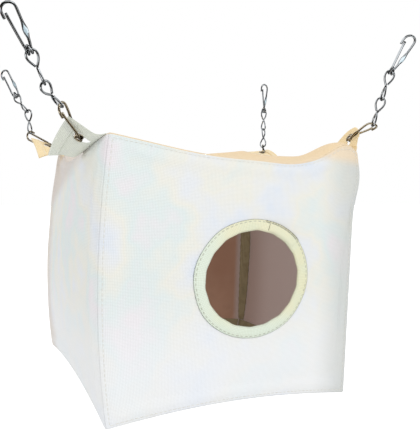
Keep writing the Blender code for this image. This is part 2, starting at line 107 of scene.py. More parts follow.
# Matt white paint: it shows the shadow and is otherwise as white as the paper behind.
floor_paint, tree, output = blank_material("matt_white_floor_paint")
matt = add_node(tree, "ShaderNodeBsdfDiffuse", {"Color": paint("#f2f2f2")})
glow = add_node(tree, "ShaderNodeEmission", {"Color": paint("#ffffff"), "Strength": FLOOR_GLOW})
lit = add_node(tree, "ShaderNodeAddShader", {0: matt.outputs[0], 1: glow.outputs[0]})
both = {0: seen_directly(tree), 1: matt.outputs[0], 2: lit.outputs[0]}
both = add_node(tree, "ShaderNodeMixShader", both)
tree.links.new(both.outputs[0], output.inputs["Surface"])

bpy.ops.object.select_all(action="DESELECT")
bpy.ops.mesh.primitive_plane_add(size=FLOOR_SIDE, location=(0, 0, FLOOR_LEVEL))
floor = bpy.context.object
floor.name = "studio_floor"
floor.data.materials.append(floor_paint)
bpy.ops.object.transform_apply(location=True)

sky = bpy.data.worlds.new("white_studio")
sky.use_nodes = True
tree = sky.node_tree
tree.nodes.clear()
ambient = add_node(tree, "ShaderNodeBackground", {"Color": paint("#ffffff"), "Strength": SKY_STRENGTH})
paper = add_node(tree, "ShaderNodeBackground", {"Color": paint("#ffffff"), "Strength": 1.0})
both = {0: seen_directly(tree), 1: ambient.outputs[0], 2: paper.outputs[0]}
both = add_node(tree, "ShaderNodeMixShader", both)
output = add_node(tree, "ShaderNodeOutputWorld", {"Surface": both.outputs[0]})
bpy.context.scene.world = sky


def add_lamp(name, place, side, watts):
    """A square lamp that faces the middle of the cube."""
    bpy.ops.object.light_add(type="AREA", location=place)
    lamp = bpy.context.object
    lamp.name = name
    lamp.data.size = side
    lamp.data.energy = watts
    lamp.rotation_mode = "QUATERNION"
    lamp.rotation_quaternion = (lamp.location - Vector((0, 0, HALF))).to_track_quat("Z", "Y")


add_lamp("wide_lamp", (1.0, -1.5, 1.1), side=1.0, watts=1.5)
# A small hard lamp beside the camera adds highlights to the wires; the light streaks along them are
# painted reflections in their material
add_lamp("small_lamp", (-0.1, -0.75, 0.45), side=0.08, watts=0.55)
bpy.context.scene.view_settings.view_transform = "Standard"

# The six canvas panels. The real ones are heavy white cotton duck, sewn edge to edge inside out and
# turned, so every edge is a soft round with a row of topstitching beside it. Hung by its corners,
# the cube sags between them and its walls swell.
SAG_POWER = 2.5
FRONT_TOP_SAG = 12 * MM
BACK_TOP_SAG = 12 * MM
LEFT_TOP_SAG = 19 * MM
RIGHT_TOP_SAG = 6 * MM
FLOOR_EDGE_RISE = 10 * MM
LEFT_WALL_BOW = 9 * MM
LEFT_WALL_SWELL = 6 * MM
LEFT_REAR_FLARE = 9 * MM
LEFT_TOP_FLARE = 26 * MM
RIGHT_WALL_SWELL = 4 * MM
FRONT_SWELL = 5 * MM
BACK_SWELL = 5 * MM
# The shoulder stands out near the top of the front right edge, at a share of the height
SHOULDER = 6 * MM
SHOULDER_HEIGHT = 0.89
SHOULDER_REACH = 0.09
BACK_RIGHT_FLARE = 10 * MM
BACK_RIGHT_DRAW = 5 * MM
# The sag and the rise fade out up and down the walls with this power of the height, and what
# belongs to one upright edge fades out along the walls with the other
FADE_POWER = 4
EDGE_POWER = 6
# Where the pull of the snaps draws the top up and where it dips: height, then the middle and reach
# from the left (-1) to the right (1), and the middle and reach from the front (-1) to the back (1)
RIM_LIFTS = (
    (8.5 * MM, -0.85, 0.6, -1.0, 0.5),
    (9 * MM, 0.85, 0.15, -0.9, 0.35),
    (-7 * MM, 1.03, 0.08, -1.03, 0.16),
    (-3.5 * MM, 0.42, 0.22, -1.0, 0.6),
    (7 * MM, 1.0, 0.2, -0.65, 0.3),
    (5 * MM, 0.6, 0.42, 1.0, 0.8),
)
CANVAS = 1.2 * MM
EDGE_ROUND = 3.5 * MM
STITCH_INSET = 4.4 * MM
ENTRY_RADIUS = 48.5 * MM
ENTRY_RIGHT_OF_MIDDLE = 12 * MM
ENTRY_HEIGHT = 130 * MM


def clamped(value):
    """The value, kept between 0 and 1."""
    return min(max(value, 0), 1)


def hump(offset, reach):
    """1 at no offset, fading to 0 on both sides of it within about two reaches."""
    return math.exp(-((offset / reach) ** 2))


def bow(share, power):
    """1 in the middle of an edge and 0 at both of its ends."""
    return 1 - abs(share) ** power


def hung(point, drawn=1):
    """Where a point of the sewn cube lies once it hangs. With drawn 0 nothing pulls at its rim."""
    x, y, z = point
    across = x / HALF
    deep = y / HALF
    high = z / CUBE
    sag = (1 - deep) / 2 * FRONT_TOP_SAG * bow(across, SAG_POWER)
    sag += (1 + deep) / 2 * BACK_TOP_SAG * bow(across, SAG_POWER)
    sag += (1 - across) / 2 * LEFT_TOP_SAG * bow(deep, SAG_POWER)
    sag += (1 + across) / 2 * RIGHT_TOP_SAG * bow(deep, SAG_POWER)
    near_side = clamped(3 * abs(across) - 2)
    near_end = clamped(3 * abs(deep) - 2)
    rise = FLOOR_EDGE_RISE * (bow(across, 2) * near_end + bow(deep, 2) * near_side)
    swell = 4 * high * (1 - high)
    left = max(0, -across)
    right = max(0, across)
    out = right * RIGHT_WALL_SWELL * bow(deep, 2) * swell
    out -= left**2 * (LEFT_WALL_BOW + LEFT_WALL_SWELL * bow(deep, 2)) * swell
    out -= left * LEFT_REAR_FLARE * (1 + deep) / 2 * (1 - high)
    out -= left**2 * LEFT_TOP_FLARE * bow(deep, 2) * (1 - deep) / 2 * abs(high) ** FADE_POWER
    out += drawn * SHOULDER * right**3 * max(0, -deep) * hump(high - SHOULDER_HEIGHT, SHOULDER_REACH)
    out += BACK_RIGHT_FLARE * right**EDGE_POWER * max(0, deep) ** EDGE_POWER * swell
    forward = max(0, -deep) * FRONT_SWELL * bow(across, 2) * swell
    drawn_in = BACK_RIGHT_DRAW * right**EDGE_POWER
    backward = max(0, deep) * (BACK_SWELL * bow(across, 2) - drawn_in) * swell
    drawn_up = drawn * sum(
        height * hump(across - at, wide) * hump(deep - back, long)
        for height, at, wide, back, long in RIM_LIFTS
    )
    lift = rise * abs(1 - high) ** FADE_POWER - (sag - drawn_up) * abs(high) ** FADE_POWER
    return Vector((x + out, y + backward - forward, z + lift))


# Each face of the cube: its own right and up, seen from outside, and the way that it faces
FACES = {
    "front": (Vector((1, 0, 0)), Vector((0, 0, 1)), Vector((0, -1, 0))),
    "back": (Vector((-1, 0, 0)), Vector((0, 0, 1)), Vector((0, 1, 0))),
    "left": (Vector((0, -1, 0)), Vector((0, 0, 1)), Vector((-1, 0, 0))),
    "right": (Vector((0, 1, 0)), Vector((0, 0, 1)), Vector((1, 0, 0))),
    "top": (Vector((1, 0, 0)), Vector((0, 1, 0)), Vector((0, 0, 1))),
    "floor": (Vector((1, 0, 0)), Vector((0, -1, 0)), Vector((0, 0, -1))),
}

# The cloth puffs up beside its edges, and the topstitching draws it in. Both fade out sideways.
PUFF = 1.4 * MM
PUFF_INSET = 12 * MM
PUFF_REACH = 6 * MM
STITCHED_IN = 0.5 * MM
STITCHED_REACH = 1.5 * MM
# Away from the edges it lies in slow and quick waves, and creases run out from its top corners
CALM_EDGE = 14 * MM
SLOW_WAVE = 58 * MM
QUICK_WAVE_ACROSS = 21 * MM
QUICK_WAVE_UP = 34 * MM
SLOW_HEIGHT = 0.9 * MM
QUICK_HEIGHT = 0.35 * MM
CREASE_HEIGHT = 0.55 * MM
CREASE_RAYS = 9
CREASE_FROM_CORNER = 26 * MM
CREASE_REACH = 24 * MM
# A soft fold beside the front's right edge starts close to it near the top, and leaves it further
# down. The rest are shares of the height: where it leaves the edge, and its ends, each with the
# stretch that it takes.
FOLD_DEPTH = 1.8 * MM
FOLD_REACH = 2.2 * MM
FOLD_INSET = 2 * MM
FOLD_LEAVES_BY = 12 * MM
FOLD_LEAVES = (0.83, 0.3)
FOLD_TOP = (0.86, 0.1)
FOLD_BOTTOM = (0.12, 0.2)


def relief(face, u, v):
    """How the cloth lies: drawn in by the stitches, puffed beside them, and softly creased between."""
    edge = HALF - max(abs(u), abs(v))
    seam = PUFF * hump(edge - PUFF_INSET, PUFF_REACH)
    seam -= STITCHED_IN * hump(edge - STITCH_INSET, STITCHED_REACH)
    calm = min(edge / CALM_EDGE, 1.0) ** 2
    shift = 7.0 * list(FACES).index(face)
    slow = noise.noise(Vector((u / SLOW_WAVE, v / SLOW_WAVE, shift)))
    quick = noise.noise(Vector((u / QUICK_WAVE_ACROSS, v / QUICK_WAVE_UP, shift + 3.3)))
    creases = 0.0
    if face not in ("top", "floor"):
        for side in (-1, 1):
            aside = HALF - side * u
            below = HALF - v
            reach = math.hypot(aside, below)
            spread = math.atan2(below, aside)
            ray = math.sin(spread * CREASE_RAYS + side)
            creases += ray * hump(reach - CREASE_FROM_CORNER, CREASE_REACH)
    fold = 0.0
    if face == "front":
        high = v / CUBE + 0.5
        inset = FOLD_INSET + FOLD_LEAVES_BY * clamped((FOLD_LEAVES[0] - high) / FOLD_LEAVES[1])
        length = clamped((FOLD_TOP[0] - high) / FOLD_TOP[1])
        length *= clamped((high - FOLD_BOTTOM[0]) / FOLD_BOTTOM[1])
        fold = FOLD_DEPTH * length * hump(HALF - u - inset, FOLD_REACH)
    return seam - fold + calm * (SLOW_HEIGHT * slow + QUICK_HEIGHT * quick + CREASE_HEIGHT * creases)


def lie(face, u, v, above=0.0):
    """The point of the hung cube at a place on one face, a height above the cloth."""
    right, up, out = FACES[face]
    centre = Vector((0, 0, HALF))
    arm = right * u + up * v + out * HALF
    inner = HALF - EDGE_ROUND
    core = Vector(min(max(part, -inner), inner) for part in arm)
    normal = (arm - core).normalized()
    return hung(centre + core + normal * (EDGE_ROUND + relief(face, u, v) + above))


# Cotton duck is a plain weave of thick threads, so it looks dotted, matt and slightly hairy; the dots
# are drawn with painted shade between its threads. Its threads are really 0.9 mm apart, and are drawn
# at 1.3 mm so that they show in the picture. Washed white duck takes faint blue, cream, green and pink
# casts in soft patches. A slub, a thicker length of a thread, runs over a dozen others.
SLUB_LENGTH = 12
SLUB_HEIGHT = 0.6
KNUCKLE_POWER = 0.7


def woven(name, threads, patches, painted_gap_shade, depth, patch_size=70 * MM, tints_and_painted_light=(), painted_glow=0.0):
    """A woven cloth: threads across and along its own UV map, in patches of near colours.

    The gap tone darkens it between its threads, as painted shade. Each tint colours it along a
    direction, between two places on it; on the panels these are painted light and shade. The glow is
    painted light: a constant glow in its own colour, which stands in for daylight that comes through it
    from the other side."""
    made, tree, output = blank_material(name)
    place = add_node(tree, "ShaderNodeTexCoord")
    spot = add_node(tree, "ShaderNodeSeparateXYZ", {0: place.outputs["UV"]})
    waves = []
    for way in (0, 1):
        turns = {0: spot.outputs[way], 1: threads[way] * math.pi}
        angle = add_node(tree, "ShaderNodeMath", turns, operation="MULTIPLY")
        wave = add_node(tree, "ShaderNodeMath", {0: angle.outputs[0]}, operation="SINE")
        waves.append(wave.outputs[0])
    crossing = add_node(tree, "ShaderNodeMath", {0: waves[0], 1: waves[1]}, operation="MULTIPLY")
    size = add_node(tree, "ShaderNodeMath", {0: crossing.outputs[0]}, operation="ABSOLUTE")
    knuckle = {0: size.outputs[0], 1: KNUCKLE_POWER}
    knuckle = add_node(tree, "ShaderNodeMath", knuckle, operation="POWER")
    stretch = {"Vector": place.outputs["UV"], "Scale": (threads[0] / SLUB_LENGTH, threads[1], 1)}
    along = add_node(tree, "ShaderNodeMapping", stretch)
    slub = add_node(tree, "ShaderNodeTexNoise", {"Vector": along.outputs[0], "Scale": 0.8, "Detail": 2})
    height = {0: slub.outputs[0], 1: SLUB_HEIGHT, 2: knuckle.outputs[0]}
    height = add_node(tree, "ShaderNodeMath", height, operation="MULTIPLY_ADD")
    patch = {"Vector": place.outputs["Object"], "Scale": 1 / patch_size, "Detail": 3, "Roughness": 0.55}
    patch = add_node(tree, "ShaderNodeTexNoise", patch)
    ramp = add_node(tree, "ShaderNodeValToRGB", {0: patch.outputs[0]})
    while len(ramp.color_ramp.elements) < len(patches):
        ramp.color_ramp.elements.new(0.5)
    for number, code in enumerate(patches):
        ramp.color_ramp.elements[number].position = 0.3 + 0.4 * number / max(len(patches) - 1, 1)
        ramp.color_ramp.elements[number].color = paint(code)
    colour = ramp.outputs[0]
    for source, way, start, stop, strength, code in tints_and_painted_light:
        where = {0: place.outputs[source], 1: way}
        where = add_node(tree, "ShaderNodeVectorMath", where, operation="DOT_PRODUCT")
        reach = {
            "Value": where.outputs["Value"],
            "From Min": start,
            "From Max": stop,
            "To Max": strength,
        }
        reach = add_node(tree, "ShaderNodeMapRange", reach, interpolation_type="SMOOTHSTEP")
        colour = {"Fac": reach.outputs[0], "Color1": colour, "Color2": paint(code)}
        colour = add_node(tree, "ShaderNodeMixRGB", colour).outputs[0]
    # Painted shade between the threads: the colour darkens towards the gap tone away from their
    # crossings
    tone = {"Fac": knuckle.outputs[0], "Color1": paint(painted_gap_shade), "Color2": paint("#ffffff")}
    tone = add_node(tree, "ShaderNodeMixRGB", tone)
    colour = {"Fac": 1.0, "Color1": colour, "Color2": tone.outputs[0]}
    colour = add_node(tree, "ShaderNodeMixRGB", colour, blend_type="MULTIPLY")
    raised = {"Height": height.outputs[0], "Strength": 0.6, "Distance": depth}
    raised = add_node(tree, "ShaderNodeBump", raised)
    cloth = {
        "Base Color": colour.outputs[0],
        "Normal": raised.outputs[0],
        "Roughness": 0.92,
        "Specular IOR Level": 0.2,
        "Sheen Weight": 0.12,
        "Sheen Roughness": 0.5,
        "Emission Color": colour.outputs[0],
        "Emission Strength": painted_glow,
    }
    cloth = add_node(tree, "ShaderNodeBsdfPrincipled", cloth)
    tree.links.new(cloth.outputs[0], output.inputs["Surface"])
    return made


THREAD_SPACING = 1.3 * MM
panel_threads = (CUBE / THREAD_SPACING, CUBE / THREAD_SPACING)
white_duck = woven(
    "washed_white_cotton_duck",
    panel_threads,
    ("#e2ebf9", "#edf0f4", "#f2f1e9", "#e7f0f0", "#f2edf1"),
    painted_gap_shade="#f0f0ee",
    depth=0.25 * MM,
    tints_and_painted_light=(
        # Painted light and shade, in order: whiter and bluer low down, greyer on the right, a peach
        # light along the top that is strongest on the right, warmer and darker towards the back, peach
        # light on every face that looks up, and warmer and darker high on the left towards the back
        ("Object", (0, 0, 1), 0.14, 0.04, 0.7, "#f9fbff"),
        ("Object", (1, 0, 0), 0.08, 0.13, 0.8, "#cfd2cf"),
        ("Object", (0.12, 0, 1), 0.25, 0.262, 0.7, "#f9dfba"),
        ("Object", (0, 1, 0), 0.06, 0.127, 0.7, "#e2d6cc"),
        ("Normal", (0, 0, 1), 0.35, 0.8, 0.9, "#fbe0b6"),
        ("Object", (-1, 0.3, 1), 0.345, 0.365, 0.85, "#dfd6d0"),
    ),
)
# The inner face was never washed white, and keeps the warm cast of raw cotton. Its glow is painted
# light, standing in for daylight that soaks through it from outside, and painted light makes it lighter
# and greyer near the top, on the right wall and towards the front.
raw_duck = woven(
    "raw_cotton_duck_inside",
    panel_threads,
    ("#b8937e", "#c09d88", "#ac8c79"),
    painted_gap_shade="#d8d2cc",
    depth=0.3 * MM,
    tints_and_painted_light=(
        ("Object", (0, 0, 1), 0.13, 0.19, 0.7, "#cdc0b2"),
        ("Object", (1, 0, 0), 0.116, 0.124, 0.8, "#cbc0be"),
        ("Object", (0, 1, 0), 0.1, 0.04, 0.6, "#ece4e4"),
    ),
    painted_glow=0.2,
)


def open_edit(piece):
    """Makes a piece the only selected one and opens it with nothing selected in it."""
    bpy.ops.object.select_all(action="DESELECT")
    piece.select_set(True)
    bpy.context.view_layer.objects.active = piece
    bpy.ops.object.mode_set(mode="EDIT")
    bpy.ops.mesh.select_all(action="DESELECT")
    bpy.ops.object.mode_set(mode="OBJECT")


def delete_faces(piece, chosen):
    """Deletes the faces whose centre is chosen."""
    open_edit(piece)
    for face in piece.data.polygons:
        face.select = chosen(face.center)
    bpy.ops.object.mode_set(mode="EDIT")
    bpy.ops.mesh.select_mode(type="FACE")
    bpy.ops.mesh.delete(type="FACE")
    bpy.ops.mesh.select_mode(type="VERT")
    bpy.ops.object.mode_set(mode="OBJECT")


def thicken(piece, thickness, offset, inside=0):
    """Gives a sheet its thickness, and smooth shading."""
    solid = piece.modifiers.new("thickness", "SOLIDIFY")
    solid.thickness = thickness
    solid.offset = offset
    solid.use_even_offset = True
    solid.material_offset = inside
    bpy.context.view_layer.objects.active = piece
    bpy.ops.object.modifier_apply(modifier=solid.name)
    piece.data.shade_smooth()


def add_grid(name, across, along, size=1):
    """A flat grid round the origin, of so many squares."""
    bpy.ops.object.select_all(action="DESELECT")
    bpy.ops.mesh.primitive_grid_add(
        x_subdivisions=across, y_subdivisions=along, size=size, location=(0, 0, 0)
    )
    grid = bpy.context.object
    grid.name = name
    return grid


PANEL_SQUARES = 112
# The canvas is cut back this far from the entry's edge, inside the binding
CUT_BACK = 5.5 * MM

entry = Vector((ENTRY_RIGHT_OF_MIDDLE, ENTRY_HEIGHT - HALF, 0))
for face in FACES:
    panel = add_grid(f"canvas_{face}", PANEL_SQUARES, PANEL_SQUARES, CUBE)
    if face == "front":
        delete_faces(panel, lambda place: (place - entry).length < ENTRY_RADIUS + CUT_BACK)
    for vertex in panel.data.vertices:
        vertex.co = lie(face, vertex.co.x, vertex.co.y)
    panel.data.materials.append(white_duck)
    panel.data.materials.append(raw_duck)
    thicken(panel, CANVAS, -1, inside=1)
    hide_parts(f"{face}_panel")
    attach(panel, "canvas")

# The topstitching. White cotton thread, one lockstitch row along each of the twelve seams, through
# the canvas and the tape behind it.
STITCH_LENGTH = 3.4 * MM
STITCH_PITCH = 4.4 * MM
STITCH_WIDTH = 0.7 * MM
STITCH_LIFT = 0.2 * MM
# How far above a stitch's middle the point lies that says which way is up
STITCH_UP = 2 * MM


def spun_thread(name, dark, light):
    """Spun cotton thread: matt and fuzzy, in two near tones."""
    made, tree, output = blank_material(name)
    place = add_node(tree, "ShaderNodeTexCoord")
    fuzz = {"Vector": place.outputs["Object"], "Scale": 900, "Detail": 3}
    fuzz = add_node(tree, "ShaderNodeTexNoise", fuzz)
    tone = {"Fac": fuzz.outputs[0], "Color1": paint(dark), "Color2": paint(light)}
    tone = add_node(tree, "ShaderNodeMixRGB", tone)
    raised = {"Height": fuzz.outputs[0], "Strength": 0.5, "Distance": 0.1 * MM}
    raised = add_node(tree, "ShaderNodeBump", raised)
    thread = {
        "Base Color": tone.outputs[0],
        "Normal": raised.outputs[0],
        "Roughness": 0.8,
        "Sheen Weight": 0.2,
    }
    thread = add_node(tree, "ShaderNodeBsdfPrincipled", thread)
    tree.links.new(thread.outputs[0], output.inputs["Surface"])
    return made


# The panels' thread is a little darker than the cloth, because it sits in its own shade
white_thread = spun_thread("white_cotton_thread", "#d6d4cc", "#ecebe4")

bpy.ops.object.select_all(action="DESELECT")
bpy.ops.mesh.primitive_uv_sphere_add(segments=6, ring_count=4, radius=0.5, location=(0, 0, 0))
bpy.ops.transform.resize(value=(STITCH_WIDTH, STITCH_WIDTH * 0.8, STITCH_LENGTH))
bpy.ops.object.transform_apply(scale=True)
one_stitch = bpy.context.object
stitch_corners = [vertex.co.copy() for vertex in one_stitch.data.vertices]
stitch_faces = [tuple(face.vertices) for face in one_stitch.data.polygons]
bpy.data.objects.remove(one_stitch)


def stitch_rows(name, rows, thread=white_thread, scale=1.0):
    """One mesh of stitches. Each stitch in a row is its two ends and a point above its middle."""
    corners = []
    faces = []
    for near, far, over in rows:
        along = (far - near).normalized()
        middle = (near + far) / 2
        up = over - middle
        up = (up - along * up.dot(along)).normalized()
        across = up.cross(along)
        turn = Matrix((across, up, along)).transposed()
        first = len(corners)
        corners += [middle + turn @ (corner * scale) for corner in stitch_corners]
        faces += [tuple(first + number for number in face) for face in stitch_faces]
    mesh = bpy.data.meshes.new(name)
    mesh.from_pydata(corners, [], faces)
    mesh.materials.append(thread)
    mesh.shade_smooth()
    piece = bpy.data.objects.new(name, mesh)
    bpy.context.scene.collection.objects.link(piece)
    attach(piece, "canvas")
    return piece


def one_row(place, middles, half, above):
    """A row of stitches. Place gives the point of the cloth at a spot, a height above it."""
    for middle in middles:
        over = place(middle, above + STITCH_UP)
        yield place(middle - half, above), place(middle + half, above), over


def cloth_stitches(face, start, stop):
    """A straight row of stitches on one face of the cube."""
    start = Vector(start)
    run = Vector(stop) - start
    count = int(run.length / STITCH_PITCH)
    half = run.normalized() * STITCH_LENGTH / 2
    middles = [start + run * (number + 0.5) / count for number in range(count)]
    return one_row(lambda spot, height: lie(face, *spot, height), middles, half, STITCH_LIFT)


inset = HALF - STITCH_INSET
for face in FACES:
    rows = []
    for side in (-1, 1):
        rows += cloth_stitches(face, (side * inset, -inset), (side * inset, inset))
        if face in ("front", "back"):
            rows += cloth_stitches(face, (-inset, side * inset), (inset, side * inset))
    if face in ("front", "back", "top", "floor"):
        stitch_rows(f"topstitching_{face}", rows)

# The tapes over the raw seams inside. Olive cotton twill tape, sewn flat over each seam allowance.
# One dark upright band of it is seen through the entry.
TAPE_WIDTH = 10 * MM
TAPE_THICKNESS = 1.0 * MM
TAPE_BEHIND = CANVAS + 0.4 * MM
TAPE_SQUARES = (96, 6)
TAPE_PUCKER = 0.25 * MM
# The upright tapes stand off the wall towards their corner, over the seam's allowance
BRIDGE = 7 * MM

# Cotton twill tape: a close weave, duller and darker than the duck. Its glow is painted light, standing
# in for daylight that comes through it.
twill_tape = woven(
    "olive_cotton_twill_tape",
    (150, 7),
    ("#8d8468", "#9a8f72", "#857a5e"),
    painted_gap_shade="#a8a29a",
    depth=0.4 * MM,
    patch_size=18 * MM,
    painted_glow=0.35,
)
end = HALF - CANVAS - 2 * MM
shelf = end - TAPE_WIDTH
SEAM_TAPES = {
    "seam_tape_front_left": ("left", (shelf, -shelf + MM), (end, shelf - MM)),
    "seam_tape_back_left": ("left", (-end, -shelf + MM), (-shelf, shelf - MM)),
    "seam_tape_front_right": ("right", (-end, -shelf + MM), (-shelf, shelf - MM)),
    "seam_tape_back_right": ("right", (shelf, -shelf + MM), (end, shelf - MM)),
    "seam_tape_top_front": ("front", (-end, shelf), (end, end)),
    "seam_tape_top_back": ("back", (-end, shelf), (end, end)),
    "seam_tape_top_left": ("left", (-end, shelf), (end, end)),
    "seam_tape_top_right": ("right", (-end, shelf), (end, end)),
    "seam_tape_floor_front": ("front", (-end, -end), (end, -shelf)),
    "seam_tape_floor_back": ("back", (-end, -end), (end, -shelf)),
    "seam_tape_floor_left": ("left", (-end, -end), (end, -shelf)),
    "seam_tape_floor_right": ("right", (-end, -end), (end, -shelf)),
}
for node, (face, low, high) in SEAM_TAPES.items():
    tape = add_grid(f"twill_{node}", *TAPE_SQUARES)
    size = Vector(high) - Vector(low)
    middle = (Vector(high) + Vector(low)) / 2
    upright = size.y > size.x
    for vertex in tape.data.vertices:
        along, across = vertex.co.x, vertex.co.y
        pucker = TAPE_PUCKER * math.sin(along * 150) * abs(2 * across) ** 2
        if upright:
            u, v = middle.x - across * size.x, middle.y + along * size.y
            to_corner = 0.5 + across * (1 if u < 0 else -1)
            pucker += BRIDGE * to_corner * math.sin(math.pi * (along + 0.5)) ** 0.5
        else:
            u, v = middle.x + along * size.x, middle.y + across * size.y
        vertex.co = lie(face, u, v, -TAPE_BEHIND - TAPE_THICKNESS / 2 - pucker)
    tape.data.materials.append(twill_tape)
    thicken(tape, TAPE_THICKNESS, 0)
    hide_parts(node)
    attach(tape, "canvas")

# The entry binding. Bias tape, cut on the slant so that it turns the circle, folded over the raw
# edge of the entry and sewn through with one row. Its inner edge is a soft polygon from the
# machining, and its end laps over its start at the upper right.
BINDING_WIDTH = 11.5 * MM
BINDING_TAPE = 0.9 * MM
BINDING_SIDES = 18
BINDING_CLEAR = 0.1 * MM
# Half of the binding's share that goes round the entry's edge, and how far its one row of stitches
# lies from there to the outer edge
ROUND_SHARE = 0.12
ROW_SHARE = 0.8
# The lap, in degrees round the entry, and how far it stands up
LAP_FROM = 38
LAP_TO = 74
LAP_RAMP = 1.5
LAP_RISE = 0.9 * MM
# How far the inner edge stands back and bends in between its corners, how far both edges wander,
# and how the tape lies between them: crowned, puckered, and drawn in along its row
INNER_BACK = 0.4
INNER_BEND = 0.5
INNER_WANDER = 0.4 * MM
OUTER_WANDER = 0.9 * MM
CROWN = 0.5 * MM
PUCKER = 0.3 * MM
ROW_DEPTH = 0.45 * MM
ROW_REACH = 0.09

# Bias tape: a thinner, closer cotton than the duck, cream with a green cast
bias_tape = woven(
    "cream_cotton_bias_tape",
    (210, 32),
    ("#f1efcf", "#ecefd6", "#f3f0d4", "#eef0d8"),
    painted_gap_shade="#e6e6dc",
    depth=0.2 * MM,
    patch_size=38 * MM,
    tints_and_painted_light=(
        ("Object", (1, 0, 0), -0.01, -0.04, 0.9, "#e9f4ea"),
        ("Object", (0, 0, 1), 0.1, 0.08, 0.8, "#e6f3ea"),
    ),
)


def lapped(turn):
    """1 on the lapped end of the tape and 0 elsewhere, with a short ramp at both of its ends."""
    degrees = math.degrees(turn) % 360
    return clamped(min(degrees - LAP_FROM, LAP_TO - degrees) / LAP_RAMP)


def binding_rims(turn):
    """The inner and outer radius of the binding at a turn round the entry."""
    facet = abs(math.cos(turn * BINDING_SIDES / 2 + 0.4))
    uneven = noise.noise(Vector((turn * 3, 0, 5)))
    inner = ENTRY_RADIUS + (INNER_BACK - INNER_BEND * facet**1.5) * MM + INNER_WANDER * uneven
    uneven = noise.noise(Vector((math.cos(turn) * 2, math.sin(turn) * 2, 1)))
    outer = ENTRY_RADIUS + BINDING_WIDTH + OUTER_WANDER * uneven
    return inner, outer


def binding_place(turn, share, lift):
    """A place on the binding, at a share from its outer edge in front (-1) round to the back (1)."""
    inner, outer = binding_rims(turn)
    fold = CANVAS / 2 + BINDING_TAPE / 2 + BINDING_CLEAR
    pucker = noise.noise(Vector((turn * 18, share * 2, 9)))
    if abs(share) < ROUND_SHARE:
        swing = share / ROUND_SHARE * math.pi / 2
        radius = inner + fold - (fold + lift) * math.cos(swing)
        height = (fold + lift) * math.sin(-swing)
    else:
        flat = (abs(share) - ROUND_SHARE) / (1 - ROUND_SHARE)
        radius = inner + fold + (outer - inner - fold) * flat
        crown = CROWN * math.sin(math.pi * flat) ** 0.7 + PUCKER * pucker * flat
        stitched = ROW_DEPTH * hump(flat - ROW_SHARE, ROW_REACH)
        height = fold + lift + crown - stitched
        height = height + LAP_RISE * lapped(turn) if share < 0 else -height
    u = ENTRY_RIGHT_OF_MIDDLE + radius * math.cos(turn)
    v = ENTRY_HEIGHT - HALF + radius * math.sin(turn)
    return lie("front", u, v, height - CANVAS / 2)


# Going round the torus, the tape has its full thickness but for its two edges, where the sine of
# the way round is less than this
EDGE_SINE = 0.3

bpy.ops.object.select_all(action="DESELECT")
bpy.ops.mesh.primitive_torus_add(
    major_segments=360,
    minor_segments=36,
    major_radius=1,
    minor_radius=0.25,
    location=(0, 0, 0),
    generate_uvs=True,
)
binding = bpy.context.object
binding.name = "bias_binding"
for vertex in binding.data.vertices:
    turn = math.atan2(vertex.co.y, vertex.co.x)
    outward = math.hypot(vertex.co.x, vertex.co.y) - 1
    around = math.atan2(vertex.co.z, outward) % math.tau
    outer_skin = around < math.pi
    share = around / math.pi * 2 - 1 if outer_skin else 3 - around / math.pi * 2
    rounding = min(max(math.sin(around), -EDGE_SINE), EDGE_SINE) / EDGE_SINE
    vertex.co = binding_place(turn, share, rounding * BINDING_TAPE / 2)
binding.data.materials.append(bias_tape)
binding.data.shade_smooth()
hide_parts("entry_binding")
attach(binding, "canvas")

BINDING_STITCH_PITCH = 5 * MM
row_radius = ENTRY_RADIUS + BINDING_WIDTH
row_share = -(ROUND_SHARE + (1 - ROUND_SHARE) * ROW_SHARE)
skin = BINDING_TAPE / 2 + BINDING_CLEAR
count = int(row_radius * math.tau / BINDING_STITCH_PITCH)
turns = [math.tau * number / count for number in range(count)]
half = STITCH_LENGTH / 2 / row_radius
row = one_row(lambda turn, height: binding_place(turn, row_share, height), turns, half, skin)
# Sewn with a greyer thread than the panels; its grey is painted shade along the stitched row
shaded_grey_thread = spun_thread("grey_cotton_thread_painted_shade", "#a3a597", "#bdbfb1")
stitch_rows("binding_stitches", row, shaded_grey_thread)

# The lap's raw edges, and the shade along them, show as dark olive lines drawn in thread: two along its
# outer side and one across its end. Their darkness is partly painted shade.
lap_edge_shade_thread = spun_thread("olive_cotton_edge_painted_shade", "#6d6a52", "#8b876c")
LAP_LINE_SHARES = (-0.985, -0.86)
LAP_LINE_STEP = 3
lap_end = math.radians(LAP_TO + 1)
half = math.radians(LAP_LINE_STEP / 2)
lap_lines = []
for share in LAP_LINE_SHARES:
    steps = range(LAP_FROM, LAP_TO + 4, LAP_LINE_STEP)
    turns = [math.radians(degrees + LAP_LINE_STEP / 2) for degrees in steps]
    lap_lines += one_row(lambda turn, height: binding_place(turn, share, height), turns, half, skin)
shares = (-0.28, -0.48, -0.68)
lap_lines += one_row(lambda share, height: binding_place(lap_end, share, height), shares, -0.1, skin)
stitch_rows("binding_lap_edges", lap_lines, lap_edge_shade_thread, scale=0.9)

# The corner tabs. Doubled canvas rectangles caught in the side seams at the top, hemmed along
# their free edge. Each has one hole, which the snap's coil has drawn out into a lens.
TAB_WIDTH = 42 * MM
TAB_LENGTH = 35 * MM
TAB_CANVAS = 0.8 * MM
HEM_BEND = 0.45 * MM
HEM_WIDTH = 9 * MM
HEM_ROW_INSET = 1.5 * MM
END_ROW = 2.2 * MM
TAB_FROM_CORNER = 4 * MM
TAB_DROOP = 12 * MM
TAB_CURL = 1.6 * MM
TAB_WAVE = 0.3 * MM
# The coil draws the cloth round its hole into ripples
RIPPLE = 0.3 * MM
RIPPLE_REACH = 3 * MM
RIPPLES = 4
# The root is caught in the seam, a little inside and below its line
CAUGHT_INSIDE = 1.8 * MM
CAUGHT_BELOW = 1.6 * MM
